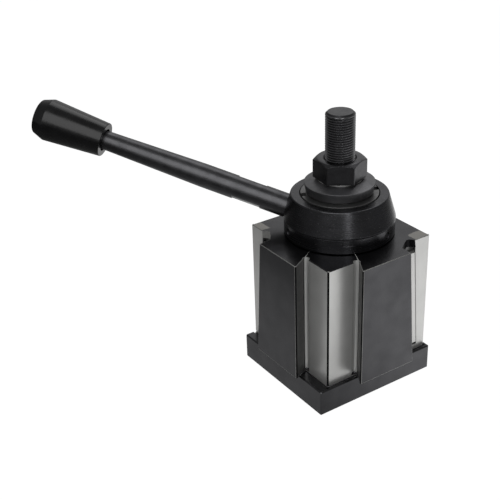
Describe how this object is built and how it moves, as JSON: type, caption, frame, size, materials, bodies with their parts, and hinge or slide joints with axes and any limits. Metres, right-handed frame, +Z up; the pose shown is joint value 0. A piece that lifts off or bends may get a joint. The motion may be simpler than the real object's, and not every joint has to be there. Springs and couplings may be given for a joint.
{
  "type": "quick change tool post",
  "caption": "Wedge-lock tool post: square block with male dovetails on neighbouring sides, a turning conical hub with a radial handle, and a clamping stud with washer and nut.",
  "frame": {"origin": "centre of the stud bore on the underside of the plinth, where the post stands on its slide", "axes": "+Z up along the stud and the axis of the hub; -Y out of the front dovetail; -X out of the side dovetail"},
  "size_m": [0.1861, 0.2163, 0.1821],
  "materials": {
    "black_oxide_steel": "black oxide over machined steel, oiled",
    "black_oxide_hardware": "black oxide over turned steel, semi-gloss",
    "ground_steel": "surface ground, bare",
    "hardened_steel": "turned and hardened, bare",
    "spring_steel": "dark tempered",
    "stud_steel": "rolled thread, lightly oiled",
    "black_plastic": "moulded black thermoset, glossy",
    "insert_brass": "turned"
  },
  "bodies": {
    "post": {"body": "black_oxide_steel", "centre_sleeve": "hardened_steel", "retaining_ring": "hardened_steel", "stud": "stud_steel", "thick_washer": "black_oxide_hardware", "hex_nut": "black_oxide_hardware"},
    "lift": {"lift_ring": "hardened_steel"},
    "hub": {"handle_hub": "black_oxide_steel", "adjusting_ring": "black_oxide_steel", "snap_ring": "spring_steel", "band_screw_1": "spring_steel", "band_screw_2": "spring_steel", "band_screw_3": "spring_steel", "handle_rod": "black_oxide_hardware", "handle_knob": "black_plastic", "knob_insert": "insert_brass"},
    "front_lock": {"front_wedge": "ground_steel", "front_wedge_pin": "hardened_steel"},
    "side_lock": {"side_wedge": "ground_steel", "side_wedge_pin": "hardened_steel"}
  },
  "joints": [
    {"name": "hub_lift", "type": "slide", "parent": "post", "child": "lift", "axis": [0, 0, 1], "range_m": [0, 0.0034]},
    {"name": "hub_turn", "type": "hinge", "parent": "lift", "child": "hub", "pos_m": [0, 0, 0.1], "axis": [0, 0, 1], "range_deg": [0, 100]},
    {"name": "front_wedge_slide", "type": "slide", "parent": "post", "child": "front_lock", "axis": [0.0715, 0, -0.9974], "range_m": [-0.0034, 0]},
    {"name": "side_wedge_slide", "type": "slide", "parent": "post", "child": "side_lock", "axis": [0, 0.0715, -0.9974], "range_m": [-0.0034, 0]}
  ],
  "couplings": [
    {"joint": "hub_lift", "follows": "hub_turn", "m_per_rad": 0.0019099},
    {"joint": "front_wedge_slide", "follows": "hub_turn", "m_per_rad": -0.0019148},
    {"joint": "side_wedge_slide", "follows": "hub_turn", "m_per_rad": -0.0019148}
  ]
}
